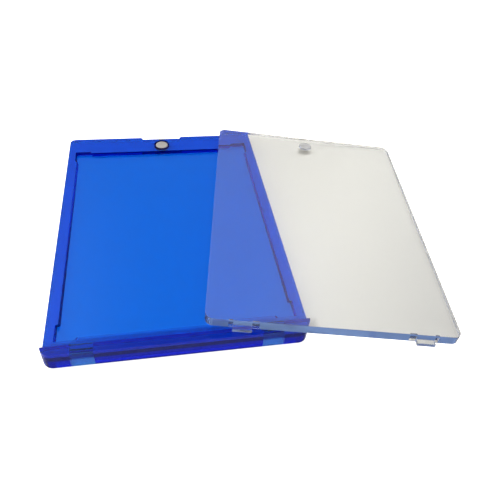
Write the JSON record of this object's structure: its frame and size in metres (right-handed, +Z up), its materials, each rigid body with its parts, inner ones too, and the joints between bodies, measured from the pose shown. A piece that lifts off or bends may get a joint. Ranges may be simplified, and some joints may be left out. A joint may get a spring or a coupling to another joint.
{
  "type": "magnetic card case",
  "caption": "Flat two-part card case: a blue tray with a card recess and slotted end wall, and a clear lid with two tabs, held shut by disc magnets.",
  "frame": {"origin": "centre of the tray's underside, on the table", "axes": "+X across the tray towards the side the lid leans over, +Y along the tray from the slotted end wall to the magnet end, +Z up"},
  "size_m": [0.1361, 0.1206, 0.011],
  "materials": {
    "blue_plastic": "see-through deep blue, polished",
    "clear_plastic": "water-clear with a faint blue tint at the edges, polished",
    "tray_magnet_nickel": "satin nickel plating",
    "lid_magnet_nickel": "satin nickel plating"
  },
  "bodies": {
    "tray": {"tray": "blue_plastic", "tray_magnet": "tray_magnet_nickel"},
    "lid": {"lid": "clear_plastic", "lid_magnet": "lid_magnet_nickel"}
  },
  "joints": [
    {"name": "lid_hinge", "type": "hinge", "parent": "tray", "child": "lid", "pos_m": [0.04338, -0.05919, 0.00669], "axis": [0.9833, -0.1739, -0.0539], "range_deg": [0, 100]}
  ]
}
